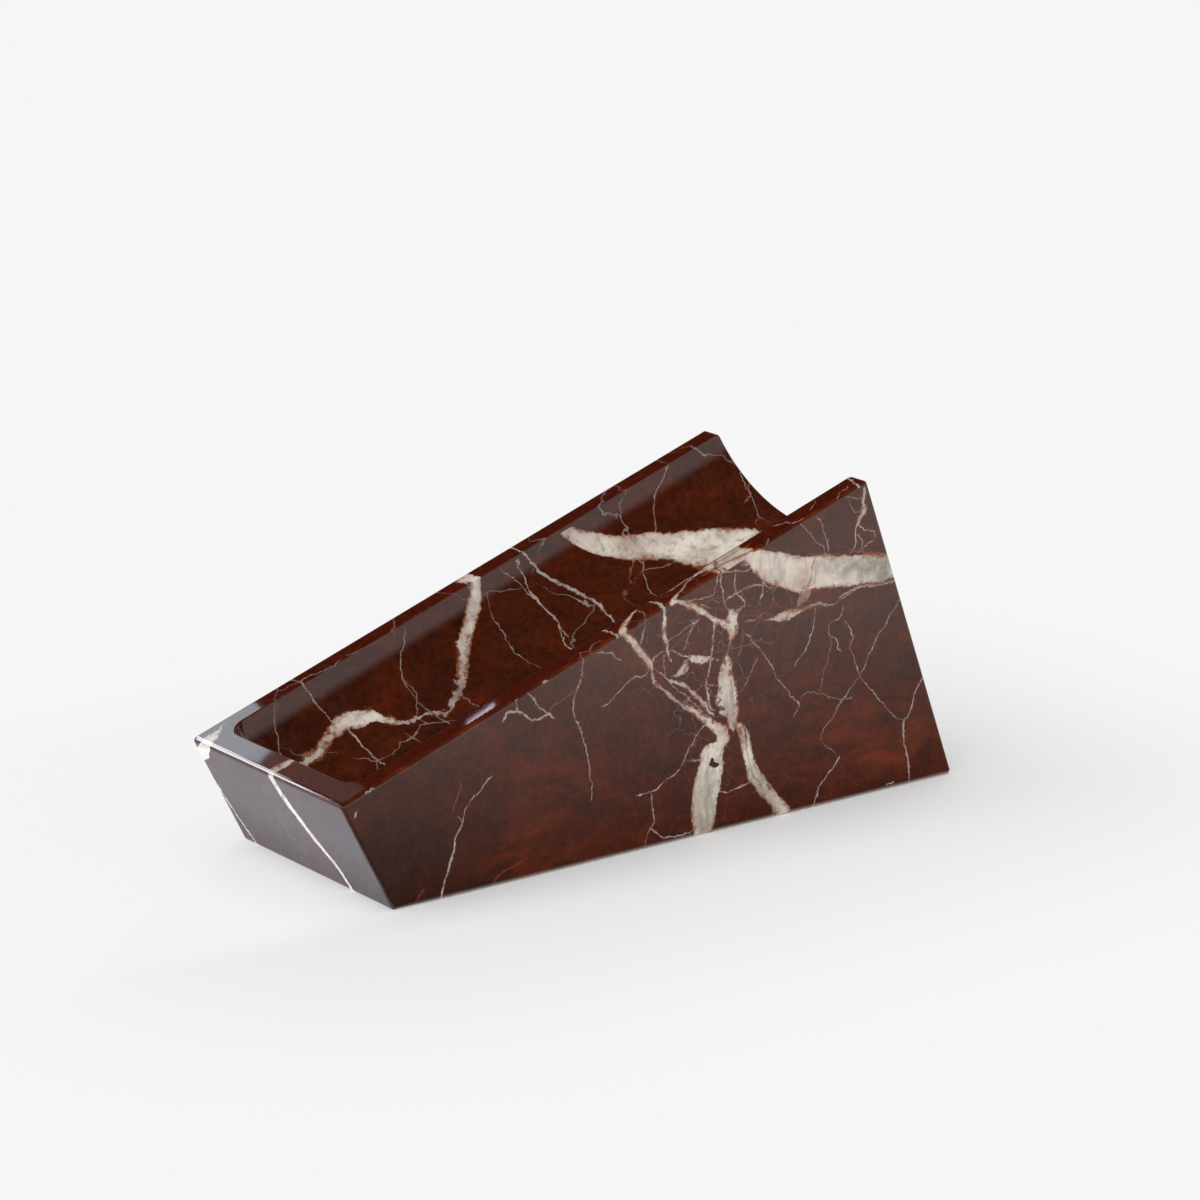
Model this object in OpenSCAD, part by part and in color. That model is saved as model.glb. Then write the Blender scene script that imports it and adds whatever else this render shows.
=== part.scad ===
// Bottle cradle cut from one block of veined red marble.
// The block is a wedge: its top slopes up from the low end to the high end. A round trough
// runs down the slope, closed at the low end and open at the high end, and a wine bottle
// lies in it with its base against the closed end and its neck out past the high end.
// Millimetres. X runs from the low end to the high end, Y across and Z up, and the origin
// is at the middle of the base, under the middle of the block's length.

/* [Block] */
// Length of the base, between the sharp corners of the profile
base_len = 244; // [190:1:320]
// Height of the low end's top corner
low_h = 40.5; // [34:0.5:60]
// How far the low end leans out past the base
low_out = 20.5; // [8:0.5:30]
// Height of the high end's top corner
high_h = 116; // [90:1:150]
// How far the high end leans back over the base
high_in = 42.5; // [10:0.5:60]
// Radius that eases the outside edges
edge_r = 1.5; // [0.5:0.1:4]

/* [Trough] */
// Diameter of the trough, a little over the bottle's own
trough_d = 78; // [66:0.5:100]
// Depth of the trough below the slope, at its middle
trough_depth = 29; // [18:0.5:32]
// Radius between the trough and the flat wall at its closed end
heel_r = 7; // [3:0.5:12]
// Width of stone left on each side of the trough, with its bevel
side_rim = 8.3; // [5:0.1:20]
// Width of stone left at the closed end, with its bevel, measured along the slope
end_rim = 10.2; // [7:0.1:20]
// Width of the bevel round the lip of the trough
lip_bevel = 0.8; // [0.3:0.1:1.5]

/* [Hidden] */
// Profile of the block seen from the near side, in X and Z, as sharp corners
low_foot = [0, 0];
high_foot = [base_len, 0];
high_top = [base_len - high_in, high_h];
low_top = [-low_out, low_h];
profile = [low_foot, high_foot, high_top, low_top];

// The slope: its length, its direction and the way out of it
slope_len = norm(high_top - low_top);
slope_dir = unit(high_top - low_top);
slope_out = [-slope_dir.y, slope_dir.x];
slope_angle = atan2(slope_dir.y, slope_dir.x);

// The trough: its axis runs above the slope and leaves through the high end
trough_r = trough_d / 2;
axis_lift = trough_r - trough_depth;
high_out = unit([high_h, high_in]);
high_out_angle = atan2(high_in, high_h);
axis_start = low_top + axis_lift * slope_out;
axis_exit = axis_start + slope_dir * ((high_foot - axis_start) * high_out) / (slope_dir * high_out);

// The block is as wide as the trough's mouth and the stone beside it
block_w = 2 * (half_width(0) + side_rim);

// Where the profile's inset corners put the middle of the block's length
inset_profile = [for (i = [0:3]) inset_corner(profile[(i + 3) % 4], profile[i], profile[(i + 1) % 4], edge_r)];
middle_x = (inset_profile[3].x + inset_profile[1].x) / 2;

// Length by which a cutter runs out past the stone
past = 10;
// Facets round each eased edge
edge_facets = 24;

function unit(v) = v / norm(v);

// Half the trough's width at a depth below the slope
function half_width(depth) = sqrt(pow(trough_r, 2) - pow(axis_lift + depth, 2));

// A corner of a convex outline, moved in so that it is r from both of its sides
function inset_corner(before, corner, after, r) =
    let (u = unit(before - corner), v = unit(after - corner))
    corner + (u + v) * r / abs(cross(u, v));

// Puts what is drawn in the slope's own frame into place: X up the slope, Z out of it,
// from the low end's top corner
module on_slope()
    translate([low_top.x, 0, low_top.y])
        rotate([0, -slope_angle, 0])
            children();

// A ball whose poles and equator have points on the full radius
module edge_ball(r)
    rotate_extrude($fn = edge_facets)
        intersection() {
            circle(r, $fn = edge_facets);
            translate([0, -r])
                square([r, 2 * r]);
        }

// The wedge with every outside edge eased
module wedge()
    hull()
        for (corner = inset_profile, side = [-1, 1])
            translate([corner.x, side * (block_w / 2 - edge_r), corner.y])
                edge_ball(edge_r);

// Half the section of the cutter: a round bar with a rounded heel
module cutter_section(r, length) {
    square([r - heel_r, length]);
    translate([0, heel_r])
        square([r, length - heel_r]);
    translate([r - heel_r, heel_r])
        circle(heel_r, $fn = 64);
}

module trough()
    on_slope()
        translate([end_rim, 0, axis_lift])
            rotate([0, 90, 0])
                rotate_extrude($fn = 96)
                    cutter_section(trough_r, slope_len - end_rim + past);

// A cone that cuts a bevel at 45 degrees into the face at Z = 0. Its radius is r where the
// bevel leaves the trough's wall, and it runs on past the bevel at both ends.
module bevel_cone(r, facets)
    translate([0, 0, -2 * lip_bevel])
        cylinder(h = 4 * lip_bevel, r1 = r - lip_bevel, r2 = r + 3 * lip_bevel, $fn = facets);

// Bevels the lip on the slope, along both sides and round the closed end
module mouth_bevel()
    on_slope()
        hull()
            for (along = [end_rim + heel_r, slope_len + past], side = [-1, 1])
                translate([along, side * (half_width(lip_bevel) - heel_r), 0])
                    bevel_cone(heel_r, 32);

// Bevels the round lip where the trough leaves through the high end
module exit_bevel()
    translate([axis_exit.x, 0, axis_exit.y])
        rotate([0, 90 - high_out_angle, 0])
            bevel_cone(trough_r, 96);

module marble_block()
    color("#5a302b")
        translate([-middle_x, 0, 0])
            difference() {
                wedge();
                trough();
                mouth_bevel();
                exit_bevel();
            }

marble_block();
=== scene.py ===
# Wine bottle holder: one wedge of polished red marble with a round trough down its slope.
# Sizes in the dictionaries are millimetres, and mm turns them to metres.
import math

import bmesh
import bpy
import numpy as np
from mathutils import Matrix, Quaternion, Vector, noise
from mathutils.geometry import delaunay_2d_cdt


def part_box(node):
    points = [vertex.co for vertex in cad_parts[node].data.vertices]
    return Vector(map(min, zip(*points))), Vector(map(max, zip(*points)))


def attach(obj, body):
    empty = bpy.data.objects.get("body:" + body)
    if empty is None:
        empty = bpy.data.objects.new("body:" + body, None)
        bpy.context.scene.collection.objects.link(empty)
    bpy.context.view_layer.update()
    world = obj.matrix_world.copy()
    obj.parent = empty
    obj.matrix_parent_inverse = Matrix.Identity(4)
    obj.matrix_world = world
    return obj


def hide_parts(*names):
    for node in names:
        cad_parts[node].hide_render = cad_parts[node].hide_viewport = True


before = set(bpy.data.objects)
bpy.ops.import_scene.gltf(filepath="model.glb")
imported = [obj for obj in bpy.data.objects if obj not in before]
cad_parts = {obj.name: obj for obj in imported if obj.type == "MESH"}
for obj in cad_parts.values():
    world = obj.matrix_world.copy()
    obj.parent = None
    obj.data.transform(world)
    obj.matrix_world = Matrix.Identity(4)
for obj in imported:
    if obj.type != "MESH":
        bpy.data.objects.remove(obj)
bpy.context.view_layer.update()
mm = 0.001
collection = bpy.context.scene.collection


def linear(hexColour):  # sRGB hex to the linear colour that the shaders take
    parts = [int(hexColour[i:i + 2], 16) / 255 for i in (1, 3, 5)]
    return tuple(p / 12.92 if p <= 0.04045 else ((p + 0.055) / 1.055) ** 2.4 for p in parts) + (1.0,)


def addNode(tree, kind, settings=None, inputs=None):  # a node with its settings, values and links
    node = tree.nodes.new(kind)
    for name, value in (settings or {}).items():
        setattr(node, name, value)
    for key, value in (inputs or {}).items():
        if isinstance(key, str):
            socket = next(s for s in node.inputs if s.name == key and s.enabled)
        else:
            socket = node.inputs[key]
        if isinstance(value, bpy.types.Node):
            value = next(s for s in value.outputs if s.enabled)
        if isinstance(value, bpy.types.NodeSocket):
            tree.links.new(value, socket)
        else:
            socket.default_value = value
    return node


# The block's sizes
blockSizes = {
    "baseLength": 244,  # between the sharp corners of the profile
    "lowHeight": 40.5,
    "lowOut": 20.5,  # how far the low end leans out past the base
    "highHeight": 116,
    "highIn": 42.5,  # how far the high end leans back over the base
    "edgeRadius": 1.5,
    "troughDiameter": 78,
    "troughDepth": 29,
    "heelRadius": 7,
    "endRim": 10.2,
    "lipWidth": 0.8,  # of the rounding round the trough's lip
    "lipSteps": 5,
    "runPast": 10,  # how far the cutter runs out past the high end
    "flatWithin": 0.1,  # degrees between faces that count as one flat face
    "edgeFacets": 48,
    "troughFacets": 192,
    "heelSteps": 16,
}
size = blockSizes
cadLow, cadHigh = (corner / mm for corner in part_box("marble_block"))
blockWidth = cadHigh.y - cadLow.y
halfWidth = blockWidth / 2


def insetCorner(before, corner, after, r):  # moved in so that it is r from both of its sides
    u = (before - corner).normalized()
    v = (after - corner).normalized()
    return corner + (u + v) * r / abs(u.cross(v))


# The profile seen from the near side, in X and Z, from the low foot and round
profile = [Vector(p) for p in (
    (0, 0),
    (size["baseLength"], 0),
    (size["baseLength"] - size["highIn"], size["highHeight"]),
    (-size["lowOut"], size["lowHeight"]),
)]
inset = [insetCorner(profile[i - 1], profile[i], profile[(i + 1) % 4], size["edgeRadius"]) for i in range(4)]
middle = Vector(((inset[3].x + inset[1].x) / 2, 0))
profile = [p - middle for p in profile]
inset = [p - middle for p in inset]
lowFoot, highFoot, highTop, lowTop = profile
slopeDir = (highTop - lowTop).normalized()
slopeOut = Vector((-slopeDir.y, slopeDir.x))
slopeLength = (highTop - lowTop).length
slopeAngle = math.atan2(slopeDir.y, slopeDir.x)
troughRadius = size["troughDiameter"] / 2
axisLift = troughRadius - size["troughDepth"]
axisStart = lowTop + slopeDir * size["endRim"] + slopeOut * axisLift
axisStart3 = Vector((axisStart.x, 0, axisStart.y))

# Camera at the photograph's viewpoint
cameraView = {
    "place": (-917.9, -1237.2, 520.7),
    "azimuth": -36.8,
    "elevation": 16.06,
    "lens": 138.3,
    "sees": 60,  # metres
}
cameraData = bpy.data.cameras.new("camera")
cameraData.lens = cameraView["lens"]
cameraData.clip_end = cameraView["sees"]
camera = bpy.data.objects.new("camera", cameraData)
camera.location = Vector(cameraView["place"]) * mm
camera.rotation_euler = (
    math.radians(90 - cameraView["elevation"]), 0, math.radians(cameraView["azimuth"]))
collection.objects.link(camera)
bpy.context.scene.camera = camera
print("camera placed")

# The block as a tree: balls on the inset corners make the rounded wedge, rings along an axis
# make the round bar that cuts the trough, and the edge between the two is marked for the lip
tree = bpy.data.node_groups.new("wedge with a trough", "GeometryNodeTree")
tree.interface.new_socket("Geometry", in_out="INPUT", socket_type="NodeSocketGeometry")
treeSizes = {
    "Edge Radius": size["edgeRadius"] * mm,
    "Trough Radius": troughRadius * mm,
    "Heel Radius": size["heelRadius"] * mm,
    "Trough Length": (slopeLength + size["runPast"]) * mm,
    "Slope Angle": slopeAngle,
}
for name in treeSizes:
    tree.interface.new_socket(name, in_out="INPUT", socket_type="NodeSocketFloat")
tree.interface.new_socket("Trough Start", in_out="INPUT", socket_type="NodeSocketVector")
tree.interface.new_socket("Marble", in_out="INPUT", socket_type="NodeSocketMaterial")
tree.interface.new_socket("Geometry", in_out="OUTPUT", socket_type="NodeSocketGeometry")
given = addNode(tree, "NodeGroupInput").outputs

ball = addNode(tree, "GeometryNodeMeshUVSphere", None, {
    "Segments": size["edgeFacets"], "Rings": size["edgeFacets"] // 2, "Radius": given["Edge Radius"]})
balls = addNode(tree, "GeometryNodeInstanceOnPoints", None, {"Points": given["Geometry"], "Instance": ball})
wedge = addNode(tree, "GeometryNodeConvexHull", None, {
    0: addNode(tree, "GeometryNodeRealizeInstances", None, {0: balls})})

# Rings along X: the first ones follow the heel's quarter circle, and the last closes the bar
index = addNode(tree, "GeometryNodeInputIndex")
turn = addNode(tree, "ShaderNodeMapRange", None, {
    "Value": index, "From Max": size["heelSteps"], "To Max": math.pi / 2})
heelAlong = addNode(tree, "ShaderNodeMath", {"operation": "SUBTRACT"}, {
    0: 1.0, 1: addNode(tree, "ShaderNodeMath", {"operation": "COSINE"}, {0: turn})})
heelAlong = addNode(tree, "ShaderNodeMath", {"operation": "MULTIPLY"}, {
    0: heelAlong, 1: given["Heel Radius"]})
isLast = addNode(tree, "ShaderNodeMath", {"operation": "GREATER_THAN"}, {
    0: index, 1: size["heelSteps"] + 0.5})
ringAlong = addNode(tree, "ShaderNodeMix", None, {0: isLast, 2: heelAlong, 3: given["Trough Length"]})
flatRadius = addNode(tree, "ShaderNodeMath", {"operation": "SUBTRACT"}, {
    0: given["Trough Radius"], 1: given["Heel Radius"]})
ringRadius = addNode(tree, "ShaderNodeMath", {"operation": "MULTIPLY_ADD"}, {
    0: addNode(tree, "ShaderNodeMath", {"operation": "SINE"}, {0: turn}),
    1: given["Heel Radius"], 2: flatRadius})
spine = addNode(tree, "GeometryNodeSetPosition", None, {
    "Geometry": addNode(tree, "GeometryNodeMeshLine", None, {"Count": size["heelSteps"] + 2}),
    "Position": addNode(tree, "ShaderNodeCombineXYZ", None, {"X": ringAlong})})
rings = addNode(tree, "GeometryNodeInstanceOnPoints", None, {
    "Points": spine,
    "Instance": addNode(tree, "GeometryNodeMeshCircle", None, {"Vertices": size["troughFacets"]}),
    "Rotation": (0, math.pi / 2, 0),
    "Scale": ringRadius})
bar = addNode(tree, "GeometryNodeConvexHull", None, {
    0: addNode(tree, "GeometryNodeRealizeInstances", None, {0: rings})})
bar = addNode(tree, "GeometryNodeTransform", None, {
    "Geometry": bar,
    "Translation": given["Trough Start"],
    "Rotation": addNode(tree, "ShaderNodeCombineXYZ", None, {
        "Y": addNode(tree, "ShaderNodeMath", {"operation": "MULTIPLY"}, {
            0: given["Slope Angle"], 1: -1.0})})})
cut = addNode(tree, "GeometryNodeMeshBoolean", {"operation": "DIFFERENCE", "solver": "EXACT"}, {
    "Mesh 1": wedge, "Mesh 2": bar})
marked = addNode(tree, "GeometryNodeStoreNamedAttribute", {"data_type": "FLOAT", "domain": "EDGE"}, {
    "Geometry": cut, "Selection": cut.outputs["Intersecting Edges"],
    "Name": "bevel_weight_edge", "Value": 1.0})
realized = addNode(tree, "GeometryNodeRealizeInstances", None, {0: marked})
faced = addNode(tree, "GeometryNodeSetMaterial", None, {0: realized, "Material": given["Marble"]})
addNode(tree, "NodeGroupOutput", None, {0: faced})

marble = bpy.data.materials.new("polished red marble")
cornerMesh = bpy.data.meshes.new("block corners")
cornerMesh.from_pydata([
    Vector((p.x, side * (halfWidth - size["edgeRadius"]), p.y)) * mm for p in inset for side in (-1, 1)
], [], [])
draft = bpy.data.objects.new("block draft", cornerMesh)
collection.objects.link(draft)
shape = draft.modifiers.new("wedge with a trough", "NODES")
shape.node_group = tree
sockets = {s.name: s.identifier for s in tree.interface.items_tree if s.in_out == "INPUT"}
for name, value in treeSizes.items():
    shape[sockets[name]] = value
shape[sockets["Trough Start"]] = (axisStart.x * mm, 0.0, axisStart.y * mm)
shape[sockets["Marble"]] = marble
flatten = draft.modifiers.new("flat faces in one", "DECIMATE")
flatten.decimate_type = "DISSOLVE"
flatten.angle_limit = math.radians(size["flatWithin"])
lip = draft.modifiers.new("eased lip", "BEVEL")
lip.limit_method = "WEIGHT"
lip.width = size["lipWidth"] * mm
lip.segments = size["lipSteps"]
lip.use_clamp_overlap = False
depsgraph = bpy.context.evaluated_depsgraph_get()
depsgraph.update()
blockMesh = bpy.data.meshes.new_from_object(draft.evaluated_get(depsgraph))
bpy.data.objects.remove(draft)
print("block cut,", len(blockMesh.polygons), "faces")

# Cuts the rounded edges, the lip and the trough across their length, and fills each flat face
# with a net of triangles, so that the veins can be stored on them all
lowOut = Vector((-size["lowHeight"], 0, -size["lowOut"])).normalized()
highOut = Vector((size["highHeight"], 0, size["highIn"])).normalized()
slopeUp = Vector((slopeOut.x, 0, slopeOut.y))
along3 = Vector((slopeDir.x, 0, slopeDir.y))
wayX, wayY, wayZ = Vector((1, 0, 0)), Vector((0, 1, 0)), Vector((0, 0, 1))
netSpacing = {
    "strip": 1.8,  # between the cuts across the rounded parts
    "spare": 0.01,  # share of a step that is too little to cut off
    "fromEdge": 0.45,  # share of a step that points keep from a flat face's outline
    "inTrough": 0.05,  # how far off the trough's own shape its faces may lie
    "facing": 0.9999,  # cosine between a flat face and its outward direction
    "corners": 4,  # a strip's face with more corners than this is cut into triangles
    "touch": 1e-6,  # metres between points that are one
}
flatFaces = {  # outward direction, and how far apart the net's points are
    "near": (-wayY, 1.4),
    "far": (wayY, 2.4),
    "slope": (slopeUp, 1.2),
    "low": (lowOut, 1.5),
    "high": (highOut, 2.4),
    "base": (-wayZ, 4.0),
    "closed end": (along3, 1.8),
}


def farEnd(face, way):  # how far along the way a face reaches
    return max(v.co.dot(way) for v in face.verts)


def cutAcross(bm, faces, way, step):  # cuts the faces every step along the way
    place = math.ceil(min(v.co.dot(way) for f in faces for v in f.verts) / step) * step
    top = max(farEnd(f, way) for f in faces)
    finished = []
    while place < top:
        past = place + step * netSpacing["spare"]
        tall = [f for f in faces if farEnd(f, way) > past]
        finished += [f for f in faces if farEnd(f, way) <= past]
        geometry = tall + list({e for f in tall for e in f.edges}) + list({v for f in tall for v in f.verts})
        made = bmesh.ops.bisect_plane(
            bm, geom=geometry, dist=netSpacing["touch"], plane_co=way * place, plane_no=way)
        faces = [g for g in made["geom"] if isinstance(g, bmesh.types.BMFace)]
        place += step
    return finished + faces


def fillFlat(bm, face, step):  # swaps one flat face for triangles inside the same outline
    out = face.normal.copy()
    across = wayX if abs(out.y) > 0.5 else wayY
    up = out.cross(across)
    corners = list(face.verts)
    outline = np.array([(v.co.dot(across), v.co.dot(up)) for v in corners])
    columns = np.arange(outline[:, 0].min(), outline[:, 0].max(), step)  # for even triangles
    rows = np.arange(outline[:, 1].min(), outline[:, 1].max(), step * math.sqrt(0.75))
    x, y = np.meshgrid(columns, rows)
    x[1::2] += step / 2  # each other row is set over by half a step
    x, y = x.ravel(), y.ravel()
    inside = np.zeros(len(x), bool)
    gap = np.full(len(x), np.inf)
    for (x1, y1), (x2, y2) in zip(outline, np.roll(outline, -1, axis=0)):
        sideX, sideY = x2 - x1, y2 - y1
        if y1 != y2:
            inside ^= ((y1 > y) != (y2 > y)) & (x < sideX * (y - y1) / sideY + x1)
        along = np.clip(((x - x1) * sideX + (y - y1) * sideY) / (sideX ** 2 + sideY ** 2), 0, 1)
        gap = np.minimum(gap, np.hypot(x - x1 - along * sideX, y - y1 - along * sideY))
    keep = inside & (gap > step * netSpacing["fromEdge"])
    points = [Vector(p) for p in outline] + [Vector(p) for p in zip(x[keep], y[keep])]
    ring = list(range(len(corners)))
    places, _, triangles, origins, _, _ = delaunay_2d_cdt(points, [], [ring], 1, 1e-9)
    level = corners[0].co.dot(out)
    verts = [
        corners[origin[0]] if origin and origin[0] < len(corners)
        else bm.verts.new(across * place.x + up * place.y + out * level)
        for place, origin in zip(places, origins)
    ]
    bm.faces.remove(face)
    for triangle in triangles:
        bm.faces.new([verts[i] for i in triangle])


def isInTrough(face):
    fromStart = face.calc_center_median() / mm - axisStart3
    spare = netSpacing["inTrough"]
    return fromStart.cross(along3).length < troughRadius + spare and fromStart.dot(along3) > -spare


bm = bmesh.new()
bm.from_mesh(blockMesh)
flats = {}
for name, (out, _) in flatFaces.items():
    flats[name] = max(bm.faces, key=lambda f: f.calc_area() * (f.normal.dot(out) > netSpacing["facing"]))
strips = [f for f in bm.faces if f not in flats.values()]
edges = [f for f in strips if not isInTrough(f)]
cutAcross(bm, [f for f in strips if isInTrough(f)], wayX, netSpacing["strip"] * mm)
for way in (wayX, wayY, wayZ):
    edges = cutAcross(bm, edges, way, netSpacing["strip"] * mm)
for name, (_, pitch) in flatFaces.items():
    fillFlat(bm, flats[name], pitch * mm)
bmesh.ops.triangulate(bm, faces=[f for f in bm.faces if len(f.verts) > netSpacing["corners"]])
bm.to_mesh(blockMesh)
bm.free()
print("net made,", len(blockMesh.polygons), "faces")

# Normals worked out from the true shape, so that flat faces stay flat and rounded ones smooth
tiny = 1e-6  # in place of a length of 0 that would divide
points = np.empty(len(blockMesh.vertices) * 3)
blockMesh.vertices.foreach_get("co", points)
points = points.reshape(-1, 3) / mm
x, y, z = points.T
slopeAlong = (x - lowTop.x) * slopeDir.x + (z - lowTop.y) * slopeDir.y
slopeDepth = -(x - lowTop.x) * slopeOut.x - (z - lowTop.y) * slopeOut.y

nearest = np.stack([x, z], axis=1)
away = np.zeros(len(x))
for start, end in zip(inset, inset[1:] + inset[:1]):
    side = end - start
    outside = (x - start.x) * side.y - (z - start.y) * side.x > 0
    share = np.clip(((x - start.x) * side.x + (z - start.y) * side.y) / side.length_squared, 0, 1)
    place = np.stack([start.x + share * side.x, start.y + share * side.y], axis=1)
    distance = np.hypot(x - place[:, 0], z - place[:, 1])
    swap = outside & ((away == 0) | (distance < away))
    nearest[swap] = place[swap]
    away[swap] = distance[swap]
flatHalf = halfWidth - size["edgeRadius"]
outer = points - np.stack([nearest[:, 0], np.clip(y, -flatHalf, flatHalf), nearest[:, 1]], axis=1)
outerLength = np.linalg.norm(outer, axis=1)
fromOuter = np.abs(outerLength - size["edgeRadius"])

fromAxis = points - np.array(axisStart3)
barAlong = fromAxis @ np.array(along3)
radial = fromAxis - barAlong[:, None] * np.array(along3)
barRadius = np.linalg.norm(radial, axis=1)
heel = size["heelRadius"]
outOfHeel = np.maximum(barRadius - troughRadius + heel, 0)[:, None]
inner = -np.minimum(barAlong - heel, 0)[:, None] * np.array(along3)
inner -= outOfHeel * radial / np.maximum(barRadius, tiny)[:, None]
innerLength = np.linalg.norm(inner, axis=1)
fromInner = np.abs(innerLength - heel)
lipShare = (fromOuter / np.maximum(fromOuter + fromInner, tiny))[:, None]
normals = outer / np.maximum(outerLength, tiny)[:, None] * (1 - lipShare)
normals += inner / np.maximum(innerLength, tiny)[:, None] * lipShare
normals /= np.linalg.norm(normals, axis=1)[:, None]
blockMesh.polygons.foreach_set("use_smooth", np.ones(len(blockMesh.polygons), bool))
blockMesh.normals_split_custom_set_from_vertices(normals)
print("normals set")

# The veins. Each one is a thin sheet that runs into the stone from a line on one side of the
# block: near and far (x, z), slope (along, y), low and high (y, up the end). A point on the
# line may carry its own half width. drift is how far the sheet leans for each mm of depth,
# and reach is the depth at which it has thinned out to nothing.
veins = []


def addVein(side, route, half=0.5, drift=(0, 0), reach=60, strength=1.0, stone="cream"):
    line = [point if len(point) == 3 else (*point, half) for point in route]
    veins.append({
        "side": side, "line": np.array(line, float), "drift": drift,
        "reach": reach, "strength": strength, "stone": stone,
    })


# The broad cream band near the high end, its fringe and its lower branch
addVein("near", [
    (22, 96, 0.6), (28, 98.5, 1.6), (33, 99, 2), (38, 97.5, 3), (42, 94.5, 4), (46, 92, 5), (50, 90.5, 5.8),
    (55, 88.5, 5.8), (60, 86.6, 6.3), (65, 86.5, 6), (70, 86.1, 5.9), (75, 85, 5.5), (80, 84.7, 5.6),
    (85, 84, 5.5), (90, 83.4, 5.3), (95, 82.8, 4.9), (104, 82.4, 4.2)], drift=(-0.25, -0.05), reach=300)
addVein("near", [(67, 92.4), (65.3, 89), (64.8, 86), (64, 82)], 0.9, strength=0.8, stone="rust")
addVein("near", [(64, 93.4), (68, 92.1), (72, 91.6), (76, 91.2), (80, 90.6)], 0.8, strength=0.7, stone="rust")
addVein("near", [
    (82, 91.2), (86, 90.6), (90, 89.3), (94, 88.4), (98, 87.4)], 1.6, strength=0.95, stone="rust")
addVein("near", [
    (66, 79.8), (72, 80.2), (77, 79.3), (84, 78.4), (90, 78), (96, 77.6)], 1.2, strength=0.8, stone="rust")
addVein("near", [(78, 75.6), (85, 77.3), (92, 77.2), (104, 76.8)], 0.8, (-0.25, -0.05), 120, 0.75)
addVein("near", [
    (85, 77, 0.5), (80, 75, 0.5), (76, 73, 0.5), (72, 73.5, 0.6), (69, 74.6, 1), (66, 75, 0.9),
    (62, 73.8, 0.8), (58, 73.5, 1.4), (55, 73.2, 1.9), (51, 72.8, 1.6), (48, 72.6, 0.8), (44, 73.5, 0.5)],
    drift=(0.15, -0.2), reach=40, strength=0.85)
addVein("near", [(44, 73.5, 1), (40, 75.5, 1.5), (34, 76.5, 1.2)], reach=20, strength=0.45, stone="rust")
addVein("near", [(67, 74.6, 1.6), (62, 74, 2.4), (57, 74.4, 2)], reach=20, strength=0.75, stone="rust")
addVein("near", [(63, 81, 2.4), (62, 78, 1.8), (59, 76, 1)], reach=40, strength=0.5)
addVein("near", [(63, 81, 3), (62, 78, 2.6), (60, 76, 2)], reach=40, strength=0.6, stone="rust")

# The knot of veins at the middle: three strands that come down together
addVein("near", [
    (-20, 80, 0.8), (-18, 79.5, 1.2), (-15, 77.5, 1.2), (-12, 74, 1.3), (-9, 70.5, 1.3), (-6, 66.5, 1.2),
    (-4.5, 64, 1), (-4.5, 60.5, 1), (0, 56.5, 1), (5, 52, 1), (9, 48.5, 1), (15, 44.5, 1.2),
    (21, 39.5, 1.5), (24, 37, 2), (27, 35, 2.5)], drift=(0.1, 0.05), reach=120)
addVein("near", [(9, 48.5), (11, 46.5), (15, 44.5)], 0.4)
addVein("near", [
    (-8, 68), (-2, 63), (2, 59), (6, 55), (12, 50), (17, 45), (22, 41), (27, 37)], 0.45, (0.1, 0.05))
addVein("near", [
    (-9, 68), (-3, 62), (1, 58), (5, 54), (11, 49), (16, 44.2)], 0.35, (0.1, 0.05), 40, 0.7, "rust")
addVein("near", [
    (3, 58.5, 0.8), (8, 56.5, 1), (11, 54, 1), (15, 50.5, 1), (18, 47.5, 1), (20, 44.5, 0.9),
    (22, 42.5, 0.8)], drift=(0.1, 0.05))
addVein("near", [
    (26.5, 34, 3.2), (25, 31, 2.8), (21.7, 28, 5.3), (21.4, 24, 5.3), (20.2, 20, 5.8), (19, 15, 5.9),
    (18.3, 10, 5.6), (18, 5, 4.7), (17.7, 0, 3.3), (17.6, -2, 3)], drift=(0.5, 0.1), reach=200)
addVein("near", [
    (21.8, 27, 0.6), (21.8, 25.5, 1.1), (22.8, 24.4, 0.9), (23.9, 24.8, 1)], reach=6, stone="dark")
addVein("near", [(24.5, 14.5), (27, 13.5), (33, 14), (39, 15)], 0.5)
addVein("near", [
    (25, 93, 0.5), (24.5, 90, 0.6), (25.5, 87, 0.6), (26.5, 84, 0.6), (28, 80.5, 0.8), (30, 78.5, 1.3),
    (30, 76, 2.2), (29.8, 73.5, 2.7), (30.2, 71, 1.8), (29.5, 67, 0.6), (28.5, 64.5, 0.5), (27.8, 60, 2.3),
    (27.2, 57, 2.8), (27.4, 54, 3.2), (27.9, 51, 3.8), (27.8, 48, 4.6), (28.5, 45, 4.4), (30.4, 42, 2.6),
    (30.3, 39, 1.8), (30.5, 36.5, 1.6)], drift=(-0.1, 0.3), strength=0.9)
addVein("near", [(23.2, 43.6, 0.5), (25, 44.3, 0.9), (27, 43.9, 0.4)], reach=8, strength=0.85, stone="dark")
addVein("near", [(24.4, 50.8, 0.3), (25.2, 51.8, 0.7)], reach=8, strength=0.7, stone="dark")
addVein("near", [(25.8, 57.6, 0.4), (26.6, 58.8, 0.4)], reach=8, strength=0.6, stone="dark")
addVein("near", [(24.4, 46.8, 0.3), (25.4, 48, 0.5)], reach=8, strength=0.7, stone="dark")
addVein("near", [(29.6, 55, 0.3), (30.6, 50, 0.4), (31.2, 46, 0.3)], reach=8, strength=0.8, stone="rust")
addVein("near", [(30, 76, 1.6), (32.5, 78, 1), (35, 79, 0.5)])
addVein("near", [
    (-17, 78.5), (-14, 76), (-11.5, 73), (-8.5, 69.5), (-6, 66), (-4.6, 62.5), (-2, 59),
    (3, 54.5)], 0.4, (0.1, 0.05), 40, 0.8, "rust")
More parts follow.
